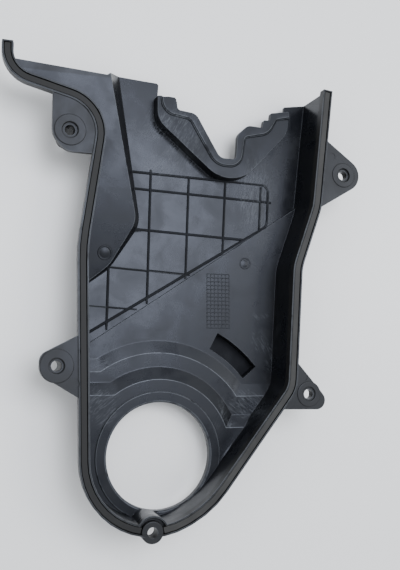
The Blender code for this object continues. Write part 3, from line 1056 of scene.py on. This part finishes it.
        chosen = {edge for edge in mesh.edges if turns(edge)}
        for face in mesh.faces:
            if chosen.isdisjoint(face.edges):
                continue
            for corner, room in zip(list(face.loops), self._free_face(face)):
                if room < self.room * width:
                    chosen.discard(corner.edge)
                if corner.calc_angle() < self.narrowest:
                    chosen.discard(corner.edge)
                    chosen.discard(corner.link_loop_prev.edge)
        return list(chosen)

    def _free_face(self, face: bmesh.types.BMFace) -> np.ndarray:
        """Measure the free width of a face beside each of its edges.

        It is the least distance from five points along the edge to the face's other edges, its two
        neighbours left out. A triangle has its height over the edge.

        Args:
            face: the face.

        Returns:
            One width for each edge, in the order of the face's corners.
        """
        starts = np.array([loop.vert.co for loop in face.loops])
        ahead = np.roll(starts, -1, axis=0) - starts
        count = len(starts)
        if count == 3:
            return 2 * face.calc_area() / np.maximum(np.linalg.norm(ahead, axis=1), NO_LENGTH)
        points = starts[:, None] + ahead[:, None] * np.array(PROBES)[None, :, None]
        gap = points[:, :, None] - starts[None, None]
        length = np.maximum((ahead ** 2).sum(-1), NO_LENGTH ** 2)
        along = np.clip((gap * ahead[None, None]).sum(-1) / length, 0, 1)
        distance = np.linalg.norm(gap - along[..., None] * ahead[None, None], axis=-1).min(axis=1)
        index = np.arange(count)
        for shift in (-1, 0, 1):
            distance[index, (index + shift) % count] = np.inf
        return distance.min(axis=1)


@dataclass
class DateGrid:
    """The mould's date grid: thin raised lines in rows and columns.

    Args:
        plan: where the plan lies in the frame.
        material: its finish.
        low: its lower left corner in the plan.
        size: its width and height.
        cells: how many columns and rows it has.
        depth: depth of the floor that it stands on.
        line: width of a line at its foot.
        flat_top: how much of that width is flat on top.
        rise: height of a line.
        sunk: how far the sheet between the lines lies under the floor.
    """

    plan: Plan
    material: bpy.types.Material
    low: tuple[float, float] = (0.0395, 0.0943)
    size: tuple[float, float] = (0.0181, 0.0418)
    cells: tuple[int, int] = (6, 14)
    depth: float = 0.031
    line: float = 0.0007
    flat_top: float = 0.44
    rise: float = 0.00022
    sunk: float = 0.00004

    def build(self) -> bpy.types.Object:
        """Make the sheet of lines, which lies just under the floor between them.

        The height over the floor at a place is the higher one of its row profile and its column
        profile. A profile is flat along the top of each line and falls in a straight slope to the foot.

        Returns:
            The sheet.
        """
        across, high_across = self._profile(self.cells[0], self.size[0])
        along, high_along = self._profile(self.cells[1], self.size[1])
        x, y = np.meshgrid(across + self.low[0], along + self.low[1])
        rise = np.maximum(*np.meshgrid(high_across, high_along))
        places = self.plan.at(np.stack([x, y], axis=-1), self.depth - rise)
        return sheet("date_grid", places, self.material)

    def _profile(self, count: int, length: float) -> tuple[np.ndarray, np.ndarray]:
        """Draw the profile of the lines along one direction.

        Args:
            count: how many cells there are.
            length: length of them all.

        Returns:
            The places along it, and the height over the floor at each.
        """
        middles = np.linspace(0, length, count + 1)
        steps = np.array([-1, -self.flat_top, self.flat_top, 1]) * self.line / 2
        heights = np.array([-self.sunk, self.rise, self.rise, -self.sunk])
        return (middles[:, None] + steps).ravel(), np.tile(heights, count + 1)


@dataclass
class EjectorButton:
    """The low round button that a mould insert leaves in its recess.

    Args:
        plan: where the plan lies in the frame.
        material: its finish.
        name: its name.
        centre: its middle in the plan.
        radius: its radius.
        depth: depth of the recess's floor at its middle.
        rise: height of the dome over the floor.
        slope: how much deeper the floor gets for each metre along Y.
        dome: radius of the dome as a share of the whole.
        lip: where the lip starts as a share of the whole.
        lip_rise: height of the lip as a share of the dome's.
        sunk: how far the button's foot lies under the floor.
        rings: how many rings of points it has.
        spokes: how many points a ring has.
    """

    plan: Plan
    material: bpy.types.Material
    name: str
    centre: tuple[float, float]
    radius: float
    depth: float
    rise: float
    slope: float = 0.0
    dome: float = 0.72
    lip: float = 0.74
    lip_rise: float = 0.6
    sunk: float = 0.00005
    rings: int = 25
    spokes: int = 64

    def build(self) -> bpy.types.Object:
        """Turn the profile about the middle: a rounded lip, a shallow valley and a low dome.

        With r from 0 at the middle to 1 at the rim, the height is the dome's rise times
        1 - (r / dome)^2 inside the dome, and outside it a lip that rises and falls as half a wave.

        Returns:
            The button.
        """
        r, turn = np.meshgrid(np.linspace(0, 1, self.rings), np.linspace(0, 2 * math.pi, self.spokes + 1),
                              indexing="ij")
        dome = np.clip(1 - (r / self.dome) ** 2, 0, 1) * self.rise
        wave = np.sin(np.clip((r - self.lip) / (1 - self.lip), 0, 1) * math.pi)
        height = np.maximum(dome, wave * self.lip_rise * self.rise) - self.sunk
        x = r * np.cos(turn) * self.radius
        y = r * np.sin(turn) * self.radius
        points = np.stack([x + self.centre[0], y + self.centre[1]], axis=-1)
        return sheet(self.name, self.plan.at(points, self.depth + self.slope * y - height), self.material)


def sheet(name: str, places: np.ndarray, material: bpy.types.Material) -> bpy.types.Object:
    """Make one piece from a grid of places, with its seam and its pole closed.

    Args:
        name: name of the piece.
        places: frame positions in rows and columns.
        material: its finish.

    Returns:
        The piece, which rides on the cover.
    """
    rows, columns = places.shape[:2]
    index = np.arange(rows * columns).reshape(rows, columns)
    corners = [index[:-1, :-1], index[:-1, 1:], index[1:, 1:], index[1:, :-1]]
    faces = np.stack(corners, axis=-1).reshape(-1, 4)
    data = bpy.data.meshes.new(name)
    data.from_pydata(places.reshape(-1, 3).tolist(), [], faces.tolist())
    closed = bmesh.new()
    closed.from_mesh(data)
    bmesh.ops.remove_doubles(closed, verts=closed.verts, dist=SAME_POINT)
    closed.to_mesh(data)
    closed.free()
    if sum(polygon.normal.z for polygon in data.polygons) < 0:
        data.flip_normals()
    data.materials.append(material)
    data.shade_smooth()
    piece = bpy.data.objects.new(name, data)
    bpy.context.scene.collection.objects.link(piece)
    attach(piece, "root")
    return piece


def main() -> None:
    """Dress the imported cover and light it."""
    logging.basicConfig(level=logging.INFO)
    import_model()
    plan = Plan.from_frame()
    Viewpoint(plan).build()
    Studio().build()
    effects = Effects()
    plastic = MouldedPlastic(plan, effects).build()
    left_side_rubber = GasketRubber(effects, "gasket_rubber", clean=(0.0045, 0.0047, 0.0052, 1),
                                dusty=(0.020, 0.020, 0.019, 1)).build()
    # The right gasket's rubber is a paler copy of the left one, both of its colours raised: painted light on
    # the right side
    right_side_painted_lit_rubber = GasketRubber(effects, "gasket_rubber_right_painted_lit", clean=(0.016, 0.016, 0.016, 1),
                                dusty=(0.060, 0.060, 0.057, 1)).build()
    pieces = [
        SoftenedCopy(Part.COVER, Slot.PLASTIC, plastic),
        SoftenedCopy(Part.LEFT_GASKET, Slot.RUBBER, left_side_rubber),
        SoftenedCopy(Part.RIGHT_GASKET, Slot.RUBBER, right_side_painted_lit_rubber),
        DateGrid(plan, plastic),
        EjectorButton(plan, plastic, "floor_button", centre=(0.0709, 0.1452), radius=0.0046,
                      depth=0.0313, rise=0.00035),
        EjectorButton(plan, plastic, "ramp_button", centre=(-0.0413, 0.1488), radius=0.0055,
                      depth=0.0276, rise=0.0006, slope=-0.17),
    ]
    for piece in pieces:
        made = piece.build()
        LOG.info("made %s with %d faces", made.name, len(made.data.polygons))


if __name__ == "__main__":
    main()
